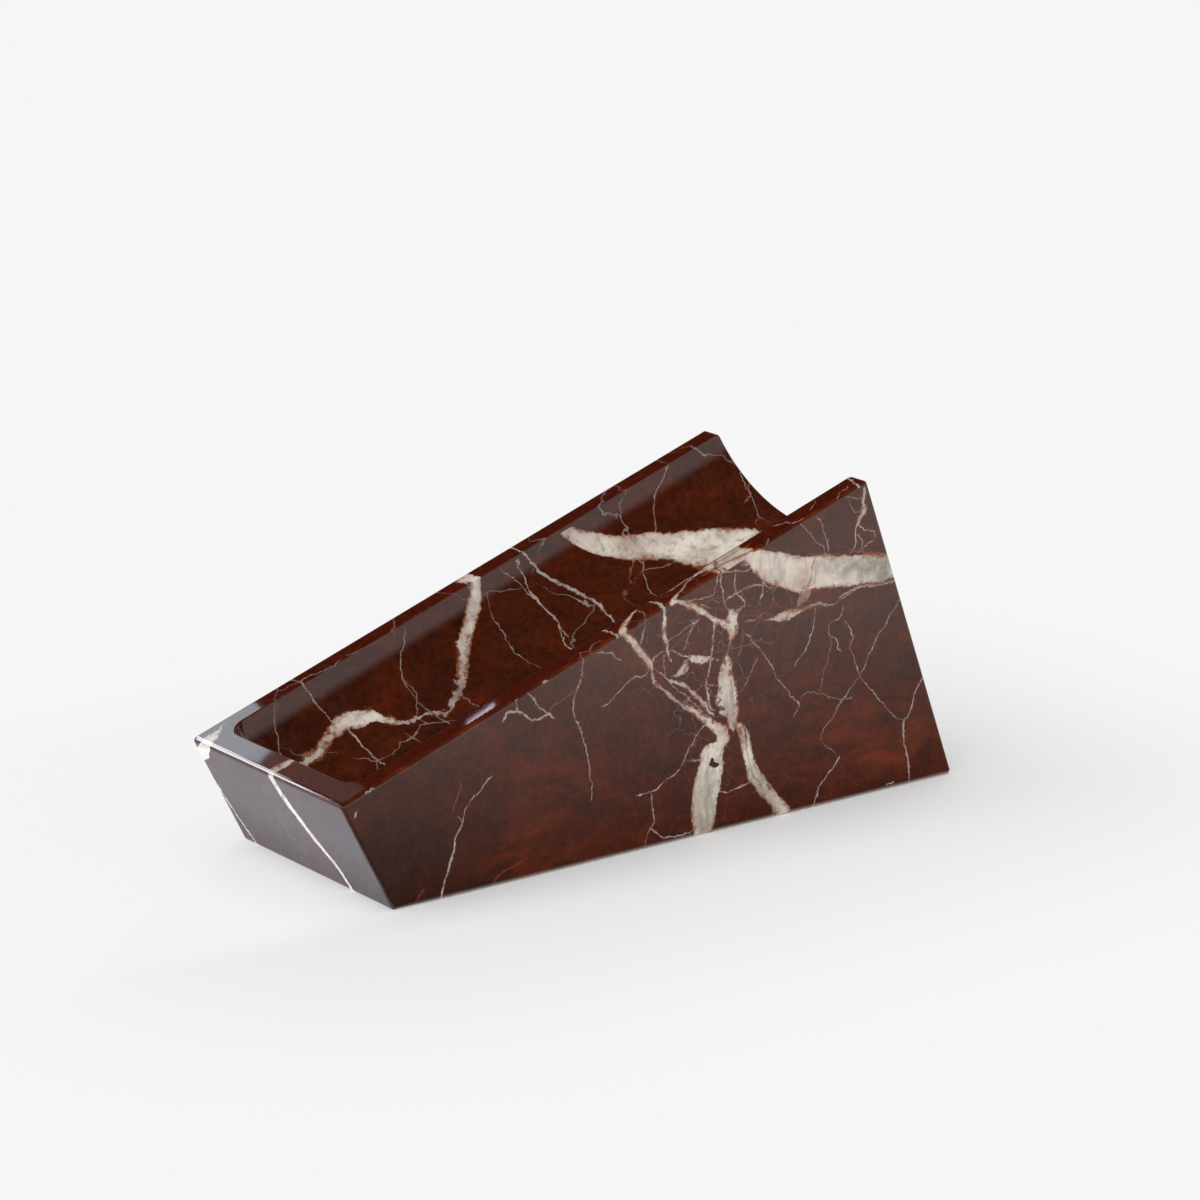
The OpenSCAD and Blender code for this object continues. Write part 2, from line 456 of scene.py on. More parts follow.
addVein("near", [
    (16, 83.5), (20, 81.5), (24, 80.8), (28, 79.5), (34, 80), (39, 79), (43, 76.5)], 0.35, stone="rust")
addVein("near", [(33, 75.5), (37, 77.5), (41, 77), (46, 74.5), (49, 73.5)], 0.5, strength=0.7, stone="rust")
addVein("near", [(36, 74), (40, 73.8), (43, 75.5)], 0.35, strength=0.7)
addVein("near", [
    (33, 37, 1.5), (35.5, 33.5, 2), (37, 28, 2), (38.2, 22, 2.2), (40.5, 17, 2.5), (44, 12.5, 2.5),
    (48, 8, 2.3), (52, 3.5, 2.5), (54.5, 0, 2.5), (56, -2, 2.5)], drift=(-0.4, 0.2), reach=150)
addVein("near", [(35.8, 35.5, 0.2), (36.4, 32, 0.5), (37, 28, 0.2)], reach=12, strength=0.7, stone="dark")
addVein("near", [
    (33.5, 35.5), (36, 30), (38, 23), (40.5, 17), (44, 12)], 0.6, reach=12, strength=0.7, stone="rust")
addVein("near", [(50.5, 5), (49, 0.5)], 0.6)

# Fine veins round the knot
addVein("near", [
    (0.5, 85.5, 1), (0.5, 80, 1.1), (1, 75, 1.1), (1.5, 70, 1), (2, 67.5, 0.8), (3.5, 65, 0.5)], reach=200)
addVein("near", [(0.5, 68), (0.5, 62), (1, 60)], 0.5, strength=0.5)
addVein("near", [(-4.5, 64), (-4.5, 67), (-3, 69), (0, 69.5)], 0.5)
addVein("near", [(1.5, 69), (4, 69), (6, 67.5), (9, 66), (11, 65.5)], 0.6)
addVein("near", [
    (10.5, 65.5, 1), (13, 64.6, 1.5), (17, 63.4, 1.7), (20.5, 63.8, 1), (24, 62, 0.4)], strength=0.8)
addVein("near", [(4, 59.5, 0.6), (7, 60.5, 1.2), (9.5, 61.6, 1.7), (10.8, 64.5, 1.2)], strength=0.72)
addVein("near", [
    (22, 76, 0.7), (22, 72), (21.5, 67), (21, 63), (20, 58), (19, 54), (19.5, 50), (20.5, 46),
    (22.5, 44)], 0.75)
addVein("near", [(20, 54.5), (24, 52.5)], 0.4)
addVein("near", [
    (3, 86.5, 1.2), (4, 86.5, 1.5), (6, 86, 1), (9, 85, 1), (13, 83, 1.2), (16, 81, 1.2), (19, 79, 1),
    (22, 77, 1.1), (25, 75.5, 1.3), (28, 74, 1.6)])
addVein("near", [(8, 86), (12, 85.5), (17, 85), (22, 85.5), (23, 88), (23.5, 91), (24, 93)], 0.35)
addVein("near", [(27, 83.5), (30, 84.5), (34, 85.5), (37, 86.5), (41, 86.3), (43, 85)], 0.6)
addVein("near", [(43.5, 87), (43.5, 84), (42.5, 81)], 0.7)
addVein("near", [(41.5, 91), (44, 88), (45, 85), (48, 84)], 0.4)
addVein("near", [(31, 92), (30.5, 89), (31, 86), (33, 83.5), (35, 81), (35, 79.5)], 0.6)
addVein("near", [(34, 95), (38, 94), (41, 92), (42, 90)], 0.8)
addVein("near", [(25, 93.5), (30, 93), (35, 92), (40, 93)], 0.5)
addVein("near", [(-10, 85.5), (-8, 84.5), (-7, 82), (-7.5, 79), (-9, 76), (-10, 73.5)], 0.5)
addVein("near", [(2, 72.5), (5, 74.5), (10, 76), (14, 77.5), (16, 78.5)], 0.3)
addVein("near", [(15, 78), (12, 75), (10, 71), (9, 68.5)], 0.35)
addVein("near", [(16, 83), (19, 82), (20, 81)], 0.3)
addVein("near", [
    (-6, 65), (-7, 63.5), (-9, 62.3), (-12, 62.7), (-15, 61), (-18, 59), (-21, 57), (-23, 55.5),
    (-26, 54.5)], 0.45)
addVein("near", [(36, 70), (38, 68), (40, 65.5), (42.5, 62.8)], 0.35)
addVein("near", [(41, 60), (39, 56), (37, 53), (36, 50.5), (34, 48)], 0.5, strength=0.7)
addVein("near", [
    (42.5, 62.8), (45, 59), (48, 55.5), (50, 51.5), (53, 47.5), (56, 44), (58.5, 41), (60.5, 39),
    (58, 35.5)], 0.35)
addVein("near", [(43, 76), (44, 72), (46, 67), (48, 62)], 0.35, strength=0.5, stone="rust")
addVein("near", [(35, 71), (35, 68), (34, 64), (33, 62)], 0.3, strength=0.4)
addVein("near", [
    (61, 40.5), (62, 42), (65, 43.3), (70, 41.5), (75, 39), (80, 37), (85, 37.5)], 0.35, strength=0.5)

# Veins at the high end
addVein("near", [
    (88.5, 113, 1), (88, 108, 1), (89, 106, 1.2), (88, 104, 1.1), (86, 101.5, 0.9), (84.5, 99.5, 0.7),
    (84.3, 97, 0.7), (85, 94.5, 0.7), (84.5, 92.5, 0.5), (82, 91, 0.4)], drift=(0.1, 0), reach=120)
addVein("near", [(86, 100), (89, 98), (93, 96.5), (94, 94.5)], 0.35)
addVein("near", [(85.5, 97), (88, 94.5), (87.5, 92), (86, 90.5)], 0.3)
addVein("near", [(93, 94), (90, 93), (88, 91)], 0.3)
addVein("near", [(81, 110), (83, 107), (85, 105.5), (88, 105)], 0.3)
addVein("near", [(80, 111), (84, 110), (88, 110)], 0.3)
addVein("near", [(60, 105), (62, 103), (64, 100.5), (67, 97.5), (70, 95), (72, 92)], 0.35, strength=0.7)
addVein("near", [(67, 106), (69, 104), (70, 101), (71, 98), (72.5, 95.5), (73, 92)], 0.35, strength=0.8)
addVein("near", [(67, 73), (67, 69), (66, 66), (64, 62), (63, 59), (60, 56.5), (58, 54)], 0.4)
addVein("near", [
    (80, 72), (79, 69), (77, 67.5), (73.5, 66), (72.5, 63.5), (73.5, 61.5), (76, 61), (77, 59), (77, 57),
    (78.5, 55.5)], 0.4)
addVein("near", [(74, 61), (74, 57), (73, 53), (71, 49), (70.5, 45), (69.5, 42)], 0.3, strength=0.45)
addVein("near", [
    (80, 66), (83, 63), (84, 60), (83, 57), (82, 56.5), (84, 54), (85, 50), (87, 46.5), (88, 44.5),
    (91, 41), (94, 38), (96, 35), (99, 32.5), (102, 29), (105, 26), (108, 25)], 0.35, strength=0.9)
addVein("near", [
    (106, 70.5), (103, 67), (101, 64.5), (99, 61), (96, 59), (94, 56), (92, 52), (90, 48), (88, 45),
    (85, 42), (82, 39.5), (79, 37), (77, 34.5), (75, 31.5), (72, 29), (71, 27), (70.5, 24.5)],
    0.45, (0.2, -0.3), 100, 0.75)
addVein("near", [(70.5, 24.5), (73, 21.5), (76, 19), (78, 17)], 0.25, strength=0.5)
addVein("near", [(79, 16.5), (76, 13.5), (73, 10.5), (70.5, 8), (69, 4.5), (67, 1)], 0.6, (0.2, -0.3), 100)
addVein("near", [
    (117, 39, 0.7), (114.5, 36, 0.7), (113.5, 34, 0.7), (113, 31, 0.7), (112, 28, 0.7), (110.5, 25.5, 0.7),
    (108.5, 24.2, 0.7), (108.3, 21, 0.7), (109, 17, 0.7), (110, 13, 0.7), (111, 9, 0.7), (111.5, 4, 0.6),
    (111.5, -1, 0.5)], drift=(-0.3, 0.1), reach=200)
addVein("near", [(101, 1.3), (105, 2)], 0.4)

# Veins at the low end of the near side, and a cream fleck there that is a painted highlight
addVein("near", [
    (-34.5, 75.3), (-33.5, 73.5), (-34.2, 70), (-34.5, 67), (-36, 64), (-37.5, 61), (-38, 58), (-37.5, 54),
    (-36, 50.5), (-34.5, 46), (-33, 42), (-32, 37.5), (-31, 33), (-30.3, 29), (-30, 25), (-30, 22.5)],
    0.45, (-0.2, 0), 200, 0.9)
addVein("near", [(-28, 74.3), (-23, 73.5), (-21, 72.5), (-20, 71), (-18, 70)], 0.6, strength=0.7)
addVein("near", [
    (-67, 57.5), (-65.5, 59.5), (-62.5, 60), (-60.5, 60), (-58.5, 58), (-56, 56), (-52, 55.3),
    (-48.5, 56.5), (-46, 54.5)], 0.7)
addVein("near", [
    (-61.5, 59.5), (-61.5, 61.5), (-62.5, 63.3), (-60, 65), (-57.5, 65.7), (-55, 63.5), (-52, 60),
    (-49, 57)], 0.45)
addVein("near", [(-48.5, 57), (-45, 59.5), (-40, 61.5), (-38, 62.3)], 0.25, strength=0.5)
addVein("near", [
    (20, 40.5), (17, 39.5), (15, 37.5), (13.5, 34.5), (11, 31.5), (9.5, 29), (8, 26.5), (5, 25), (2, 23.2),
    (-1, 21.8), (-3, 20.5), (-5, 19.6), (-8, 19.6), (-11, 20.3)], 0.5, (0.3, 0))
addVein("near", [(10, 28.5), (13, 28), (16.5, 27.5)], 0.5)
addVein("near", [(-4.5, 19.5), (-4.5, 16), (-3.8, 12), (-3.5, 8.5), (-5, 7), (-6.5, 5), (-7, 1)], 0.45)
addVein("near", [(-5, 7), (-3, 5.5), (-1, 3.5), (1, 2.3), (5, 1.5), (9, 1.7), (14, 3)], 0.6)
addVein("near", [
    (-93, -1, 0.8), (-92, 4, 0.9), (-91, 8, 0.9), (-89, 12, 0.8), (-87.5, 16, 0.8), (-86.5, 20, 0.7),
    (-85, 22.5, 0.7), (-84, 25, 0.7), (-83.5, 27, 0.4), (-82.5, 30, 0.5), (-81, 32, 0.35), (-78, 34, 0.35),
    (-75, 36.5, 0.35), (-72, 39, 0.35)], drift=(-0.3, 0.2), reach=150)
addVein("near", [(-84, 25), (-85, 27), (-86, 28)], 0.3)
addVein("near", [(-87.5, 30), (-87, 32.5), (-85.5, 35), (-84.5, 37), (-84.5, 40)], 0.3, strength=0.4)
# painted highlight: a cream fleck on the rounded corner where it catches a glint
addVein("near", [(-127, 36), (-126.3, 37.3)], 0.8, reach=4)
addVein("near", [(-72, 1), (-70, 3), (-66, 5), (-62, 6), (-58, 7)], 0.7, reach=20, stone="rust")
addVein("near", [(-103, 2), (-101.5, 4), (-100, 5)], 0.8, reach=10, strength=0.8, stone="rust")

# The rims of the slope
addVein("slope", [(119.5, -46), (119, -38)], 0.8, reach=13)
addVein("slope", [(121, -46, 1.2), (125, -43, 1.2), (130, -40, 1), (134, -38.5, 0.8)], reach=13)
addVein("slope", [(131, -46), (134, -42), (133.5, -39)], 0.4, reach=13)
addVein("slope", [(139.5, -47), (140.5, -43), (139.2, -38)], 0.8, reach=14)
addVein("slope", [
    (142, -47, 1.5), (146, -45, 0.9), (150, -43, 0.7), (155, -41, 0.6), (158, -40, 0.9), (165, -39.5, 1.2)],
    reach=13)
addVein("slope", [(148, -39.4), (158, -39)], 0.7, reach=13, strength=0.8)
addVein("slope", [(172, -36, 9), (172, -40, 8), (173.5, -48, 8.5)], reach=60, strength=0.92)
addVein("slope", [(161, -42), (170, -43), (176, -44.5), (184, -46)], 1.6, reach=3, strength=0.9, stone="rust")
addVein("slope", [(168, -39.5), (176, -40.5), (183, -41)], 1.2, reach=3, strength=0.8, stone="rust")
addVein("slope", [(168, -47, 1.2), (167, -42, 0.8), (170, -37, 1)], reach=13, stone="rust")
addVein("slope", [(165.5, -47, 0.4), (166, -43, 0.3), (169, -40, 0.2)], reach=8, strength=0.8, stone="dark")
# painted highlight: a short cream streak on the near top edge, by the low end
addVein("slope", [(9, -46), (12, -45.8), (15, -46.1)], 0.6, reach=2)
addVein("slope", [(86, -45.9), (90, -46)], 0.5, reach=2, strength=0.7)
addVein("slope", [(187, -46), (189, -44.6)], reach=6, strength=0.5)
addVein("slope", [(196, -39), (200, -41), (201, -44.5), (205, -45)], 0.5, reach=13)
addVein("slope", [(210, -43), (214, -41), (215, -39)], 0.4, reach=13, strength=0.6)
addVein("slope", [(220, -46), (223, -44), (228, -43)], 0.3, reach=13, strength=0.6)
addVein("slope", [(232, -38), (231, -42), (230, -48)], 0.8, reach=14)
addVein("slope", [
    (103, -46), (105, -43), (107, -45.5), (111, -42.5), (114, -44)], 0.35, reach=8, strength=0.5)

# The low end
addVein("low", [
    (-21.5, -1, 1.3), (-20.5, 5, 1.3), (-19.5, 9, 1.2), (-17, 13, 1.3), (-14.5, 17, 1.4), (-12, 20.5, 1.4),
    (-9.5, 25, 1.5), (-7.5, 29, 1.5), (-6, 33, 1.6), (-4.5, 37, 1.6), (-3.5, 41, 1.7), (-2.8, 46, 1.7)],
    reach=80, strength=0.86)
addVein("low", [(45, 28), (43.5, 20), (41.5, 12), (39, 5), (37.5, -1)], 0.8, (0, 0.3), 70, 0.72)
addVein("low", [(46, 38, 2.5), (41, 40.5, 2.5), (36.5, 46, 2.5)], drift=(0.1, 0), reach=14, strength=0.9)

# The far side and the high end, in another layout
addVein("far", [
    (-128, 30, 0.8), (-112, 27, 1.2), (-97, 31, 1.8), (-84, 38, 2.4), (-72, 41, 2.2), (-60, 39, 1.4),
    (-47, 43, 1.1), (-36, 52, 1.6), (-28, 63, 2.2), (-22, 74, 2.6), (-18, 84, 2.4)],
    drift=(0.1, 0.1), reach=70)
addVein("far", [
    (-84, 38, 1), (-80, 28, 1.3), (-73, 18, 1.7), (-70, 9, 1.4), (-71, -1, 1.2)], drift=(0.2, 0), reach=70)
addVein("far", [
    (-60, 39, 0.7), (-52, 30, 0.5), (-41, 26, 0.4), (-30, 17, 0.5), (-24, 6, 0.6), (-23, -1, 0.5)])
addVein("far", [(-112, 27, 0.5), (-106, 17, 0.4), (-98, 9, 0.5), (-95, -1, 0.6)])
addVein("far", [(-36, 52, 0.6), (-22, 48, 0.4), (-9, 51, 0.5), (3, 45, 0.5), (14, 33, 0.6), (19, 20, 0.4)])
addVein("far", [
    (-2, 92, 0.7), (4, 80, 0.9), (14, 71, 1.4), (27, 66, 2.1), (39, 67, 2.8), (52, 62, 3.2), (64, 53, 2.6),
    (74, 41, 2.2), (86, 33, 2.6), (100, 29, 3), (115, 22, 2.2), (128, 17, 1.8)], drift=(0.15, -0.1), reach=70)
addVein("far", [(39, 67, 0.6), (44, 78, 0.5), (53, 86, 0.4), (57, 98, 0.5), (66, 108, 0.6)])
addVein("far", [(64, 53, 0.5), (72, 60, 0.4), (83, 63, 0.3), (92, 72, 0.4), (104, 75, 0.5)])
addVein("far", [(52, 62, 0.5), (47, 50, 0.4), (49, 37, 0.6), (42, 24, 0.5), (44, 11, 0.6), (39, -1, 0.7)])
addVein("far", [(100, 29, 0.5), (96, 17, 0.5), (99, 6, 0.4), (97, -1, 0.5)])
addVein("far", [(27, 66, 0.4), (17, 59, 0.4), (14, 47, 0.3), (3, 45, 0.4)])
addVein("far", [(-95, 60, 0.4), (-90, 50, 0.5), (-84, 38, 0.6)])
addVein("high", [
    (-47, 87.5, 4.2), (-40, 86, 3.8), (-33, 80, 3), (-25, 70, 2.6), (-15, 61, 2), (-6, 55, 1.6), (4, 54, 2),
    (15, 48, 1.4), (26, 39, 1.2), (36, 35, 1.4), (47, 37, 1.2)], drift=(0.1, -0.1), reach=40)
addVein("high", [(4, 54, 0.6), (9, 42, 0.5), (6, 29, 0.6), (12, 16, 0.5), (10, -1, 0.6)], reach=40)
addVein("high", [
    (-25, 70, 0.6), (-30, 56, 0.5), (-28, 42, 0.4), (-34, 25, 0.5), (-32, 9, 0.5), (-37, -1, 0.6)], reach=40)
addVein("high", [(41, 121, 0.6), (43, 108, 0.5), (40, 96, 0.6), (45, 84, 0.4)], reach=30)

# Where every point of the net lies in each side's own frame, warped more the deeper it is
lowUp = Vector((lowTop.x - lowFoot.x, 0, lowTop.y - lowFoot.y)).normalized()
highUp = Vector((highTop.x - highFoot.x, 0, highTop.y - highFoot.y)).normalized()
fromLow = points - np.array((lowFoot.x, 0, lowFoot.y))
fromHigh = points - np.array((highFoot.x, 0, highFoot.y))
sideFrames = {
    "near": (x, z, y + halfWidth),
    "far": (x, z, halfWidth - y),
    "slope": (slopeAlong, y, slopeDepth),
    "low": (y, fromLow @ np.array(lowUp), -fromLow @ np.array(lowOut)),
    "high": (y, fromHigh @ np.array(highUp), -fromHigh @ np.array(highOut)),
}
veinWarp = {
    "broadSize": 60, "broad": 9, "broadDepth": 35, "fineSize": 18, "fine": 2.5, "fineDepth": 14,
    "seed": 7,  # without one, the warp would differ from run to run
}
noise.seed_set(veinWarp["seed"])
broad = np.array([noise.noise_vector(Vector(p) / veinWarp["broadSize"]) for p in points])
fine = np.array([noise.noise_vector(Vector(p) / veinWarp["fineSize"] + wayX * 40) for p in points])
for name, (u, v, depth) in sideFrames.items():
    shift = broad * (veinWarp["broad"] * np.clip(depth / veinWarp["broadDepth"], 0, 1))[:, None]
    shift += fine * (veinWarp["fine"] * np.clip(depth / veinWarp["fineDepth"], 0, 1))[:, None]
    sideFrames[name] = (u + shift[:, 0], v + shift[:, 1], np.maximum(depth, 0))

# Which veins may show where: the rims have the slope's own, and the sides have theirs
skin = 0.6  # a point under less stone than this is on the side
nearDepth = sideFrames["near"][2]
lowDepth = sideFrames["low"][2]
onRim = (slopeDepth < skin) & (lowDepth > skin)
onLow = lowDepth < skin
onNear = nearDepth < size["edgeRadius"] / 2
hidden = {
    "near": onRim | onLow & (nearDepth > 2 * size["edgeRadius"]),
    "far": onRim & (y < 0) | onLow,
    "slope": onNear & (slopeDepth > 2 * skin),
    "low": np.zeros(len(x), bool),
    "high": onNear,
}
veinEnd = {
    "from": 0.85, "over": 0.5,  # shares of the reach over which a vein narrows to nothing
    "drop": 20, "hidden": 50,  # taken off its half width, there and where it may not show
}


def measureVein(vein):  # signed distance from the vein's middle, and its half width there
    u, v, depth = sideFrames[vein["side"]]
    u = (u - vein["drift"][0] * depth)[:, None]
    v = (v - vein["drift"][1] * depth)[:, None]
    start, end = vein["line"][:-1], vein["line"][1:]
    stepU, stepV = (end - start)[:, 0], (end - start)[:, 1]
    length = np.hypot(stepU, stepV)
    share = ((u - start[:, 0]) * stepU + (v - start[:, 1]) * stepV) / length ** 2
    held = np.clip(share, 0, 1)
    distance = np.hypot(u - start[:, 0] - held * stepU, v - start[:, 1] - held * stepV)
    pick = distance.argmin(axis=1)
    rows = np.arange(len(pick))
    square = ((u - start[:, 0]) * stepV - (v - start[:, 1]) * stepU)[rows, pick] / length[pick]
    share, held, distance = share[rows, pick], held[rows, pick], distance[rows, pick]
    half = start[pick, 2] + (end - start)[pick, 2] * held
    past = np.maximum(-share, share - 1) * length[pick]
    overshot = (past > 0) & ((pick == 0) & (share < 0) | (pick == len(length) - 1) & (share > 1))
    away = np.where(overshot, square, np.copysign(distance, square))
    half = np.where(overshot, half - past, half)
    fade = depth / vein["reach"]
    half = np.where(half > 0, half * (1 - fade), half)
    half -= veinEnd["drop"] * np.clip(fade - veinEnd["from"], 0, veinEnd["over"])
    return away, np.where(hidden[vein["side"]], half - veinEnd["hidden"], half)


measured = [measureVein(vein) for vein in veins]
away = np.array([m[0] for m in measured])
half = np.array([m[1] for m in measured])
strengths = np.array([vein["strength"] for vein in veins])
stones = np.array([vein["stone"] for vein in veins])

# Each triangle keeps the few veins nearest to it, as distance, half width and strength
faceCorners = np.empty(len(blockMesh.loops), int)
blockMesh.loops.foreach_get("vertex_index", faceCorners)
cornerTotals = np.empty(len(blockMesh.polygons), int)
blockMesh.polygons.foreach_get("loop_total", cornerTotals)
faceStarts = np.concatenate([[0], np.cumsum(cornerTotals)[:-1]])
faceOfCorner = np.repeat(np.arange(len(cornerTotals)), cornerTotals)
cornerPoints = points[faceCorners]
following = np.arange(len(faceCorners)) + 1
following[faceStarts + cornerTotals - 1] = faceStarts
edgeLengths = np.linalg.norm(cornerPoints[following] - cornerPoints, axis=1)
longest = np.maximum.reduceat(edgeLengths, faceStarts)
veinSlots = {"cream": 5, "rust": 3, "dark": 1}
slotNames = []
for stone, count in veinSlots.items():
    chosen = np.flatnonzero(stones == stone)
    outside = np.abs(away[chosen]) - half[chosen]
    perFace = np.minimum.reduceat(outside[:, faceCorners], faceStarts, axis=1)
    order = np.argsort(perFace, axis=0, kind="stable")[:count]
    for slot, pick in enumerate(order):
        rows = chosen[pick][faceOfCorner]
        s = away[rows, faceCorners]
        closest = np.minimum.reduceat(np.abs(s), faceStarts)
        s = np.where((closest > longest)[faceOfCorner], np.abs(s), s)
        values = np.stack([s, half[rows, faceCorners], strengths[rows]], axis=1)
        name = f"{stone} vein {slot + 1}"
        slotNames.append(name)
        layer = blockMesh.attributes.new(name, "FLOAT_VECTOR", "CORNER")
        layer.data.foreach_set("vector", values.astype(np.float32).ravel())

# Soft places on the near side, fading inwards: rusty ones, dark ones, clouded calcite, and ones
# full of fine webs. The big dark one at the foot of the low end is painted shade, where the block
# leans out over the floor
softPlaces = {  # x, z, radius along x, radius along z, strength
    "rustAndEdgeHighlight": [
        (-57, 12, 20, 15, 0.3), (-50, 32, 18, 9, 0.35), (98, 14, 26, 12, 0.58), (118, 30, 10, 14, 0.25),
        (30, 30, 16, 14, 0.2), (64, 80, 12, 10, 0.5), (-2, 62, 12, 9, 0.3), (70, 48, 14, 8, 0.3),
        (-16, 8, 24, 14, 0.3), (68, 22, 16, 14, 0.35), (45, 38, 10, 10, 0.15), (92, 36, 14, 10, 0.2),
    ],
    # the big one at the foot of the low end is painted shade; the small one is darker stone
    "dark": [(-120, 0, 42, 34, 0.9), (8, 20, 14, 16, 0.15)],
    "clouded": [
        (79, 86, 7, 4, 1.1), (91, 84.5, 8, 3.5, 1.1), (98, 82, 4, 5, 1.4), (70, 87, 4, 3, 0.35),
        (19.5, 13, 7, 12, 0.9), (46, 9, 12, 12, 0.7),
    ],
    "webbed": [(16, 68, 30, 22, 1.0), (28, 48, 14, 14, 0.9), (60, 84, 26, 12, 0.8), (22, 18, 10, 20, 0.6)],
}
softDepth = 25  # how far in they fade
amounts = {name: np.zeros(len(x)) for name in softPlaces}
for name, places in softPlaces.items():
    for centreX, centreZ, spreadX, spreadZ, strength in places:
        outside = ((x - centreX) / spreadX) ** 2 + ((z - centreZ) / spreadZ) ** 2
        amounts[name] += strength * np.exp(-outside - (nearDepth / softDepth) ** 2)

# The rounded edge between the near side and the slope is painted a brighter rust, a painted
# highlight; the rims are painted a deeper red than the sides, a painted dark reflection; and the
# low end has a painted grey sheen
highlightedEdge = {"sharpness": 2.4, "strength": 0.45}
toNear = normals @ np.array(-wayY)
toSlope = normals @ np.array(slopeUp)
onRims = (toSlope > 0.9) & (slopeDepth < size["edgeRadius"])
# painted highlight: rust colour on the rounded near top edge, where it faces both the near side and the slope
edgeHighlightShare = np.clip(highlightedEdge["sharpness"] * np.maximum(toNear, 0) * np.maximum(toSlope, 0), 0, 1)
amounts["rustAndEdgeHighlight"] += highlightedEdge["strength"] * edgeHighlightShare * (y < -flatHalf)
# painted dark reflection: the rims get a deeper, purer red than the sides
amounts["rimDarkReflection"] = onRims
# painted sheen: the low end gets a mauve grey in its colour
amounts["sheened"] = onLow
for name, amount in amounts.items():
    layer = blockMesh.attributes.new(name, "FLOAT", "POINT")
    layer.data.foreach_set("value", amount.astype(np.float32))
print("veins stored,", len(veins), "veins in", len(slotNames), "slots")

# Polished red marble: a limestone coloured by iron, sawn to shape and polished by hand. The
# eye sees dark red-brown stone with soft mottling, cut by cream and rusty veins, all under
# one even shine
# Two of these are painted light: the deep red for the rims is a painted dark reflection, and the mauve grey
# for the low end is a painted sheen
marbleColours = {
    "mid": "#431b0c", "dark": "#2c150e", "red": "#5a210d", "veil": "#4f3026", "rust": "#7c3312",
    "rimDarkReflection": "#4a1105", "sheenGrey": "#8d8088", "amber": "#a0623c",
    "cream": "#e9dfd0", "pink": "#b89f92", "grey": "#8f8a82", "cloudy": "#989282", "fine": "#b3a6a1",
    "hole": "#35211a",
}
colours = {name: linear(code) for name, code in marbleColours.items()}
marblePolish = {
    "stone": 0.035,  # roughness of the polished stone
    "vein": 0.1,  # calcite takes the polish a little less
    "ior": 1.52,
    "relief": 0.02 * mm,  # far too fine to see except in the shine
    "reliefShare": 0.25,
}
marble.use_nodes = True
shade = marble.node_tree
shade.nodes.clear()
place = addNode(shade, "ShaderNodeTexCoord").outputs["Object"]
slanted = addNode(shade, "ShaderNodeMapping", None, {
    "Vector": place, "Rotation": (0, math.radians(24), 0), "Scale": (0.4, 1, 1)})
upright = addNode(shade, "ShaderNodeMapping", None, {"Vector": place, "Scale": (1, 1, 0.25)})
field = {
    name: addNode(shade, "ShaderNodeAttribute", {"attribute_name": name}).outputs["Fac"]
    for name in amounts
}


def perMetre(feature):  # the scale that gives a pattern features of this many mm
    return 1 / (feature * mm)


# Patterns in the stone: where they lie, feature size in mm, detail, roughness, distortion, and
# the values that become 0 and 1
stonePatterns = {
    "zone": (place, 48, 3, 0.6, 0, 0.38, 0.62), "cloud": (place, 15, 5, 0.6, 0, 0.38, 0.64),
    "patch": (place, 7, 6, 0.6, 0, 0.5, 0.7), "mottle": (place, 2.4, 5, 0.6, 0, 0.32, 0.68),
    "grain": (place, 0.5, 2, 0.6, 0, 0.25, 0.75), "swell": (place, 4, 3, 0.6, 0, 0.3, 0.7),
    "gaps": (place, 6, 3, 0.6, 0, 0.34, 0.5), "wisps": (place, 5, 4, 0.6, 0, 0.28, 0.62),
    "smears": (slanted, 9, 6, 0.62, 0.5, 0.42, 0.66), "flakes": (place, 2.4, 5, 0.7, 0, 0.51, 0.57),
    "streaks": (upright, 2.6, 5, 0.5, 0.4, 0.5, 0.72), "cracks": (place, 13, 4, 0.6, 1.4, 0, 1),
}
pattern = {}
for name, (where, feature, detail, roughness, distortion, low, high) in stonePatterns.items():
    noiseNode = addNode(shade, "ShaderNodeTexNoise", None, {
        "Vector": where, "Scale": perMetre(feature), "Detail": detail, "Roughness": roughness,
        "Distortion": distortion})
    pattern[name] = addNode(shade, "ShaderNodeMapRange", None, {
        "Value": noiseNode, "From Min": low, "From Max": high})

# The same patterns as shares of something: the share where the pattern is 0, and where it is 1
patternShares = {
    "swell": (0.15, 0.6), "gaps": (0.3, 0.8), "mottle": (0.74, 1.3), "grain": (0.8, 1.22),
    "smears": (0.1, 1.0),
}
share = {
    name: addNode(shade, "ShaderNodeMapRange", None, {"Value": pattern[name], "To Min": low, "To Max": high})
    for name, (low, high) in patternShares.items()
}

# Veins: an edge that wavers at three sizes, then how far outside each vein the point lies
waverSizes = {6: 0.6, 1.6: 0.4, 0.5: 0.16}  # feature size in mm, and how far it moves the edge
veinEdge = {
    "softness": 0.1,
    "comesAndGoes": 0.6, "keepsWidth": 1.6,  # half widths of cream veins, and what they do
    "tooFine": 0.65, "broad": 1.1, "setAside": 9.0,  # fine veins are set aside from the broad ones
}
shift = 0.0
for feature, reach in waverSizes.items():
    noiseNode = addNode(shade, "ShaderNodeTexNoise", None, {
        "Vector": place, "Scale": perMetre(feature), "Detail": 2.0})
    waver = addNode(shade, "ShaderNodeMapRange", {"clamp": False}, {
        "Value": noiseNode, "To Min": -2 * reach, "To Max": 2 * reach})
    shift = addNode(shade, "ShaderNodeMath", {"operation": "ADD"}, {0: waver, 1: shift})
veinMask, edgeOut = {}, {}
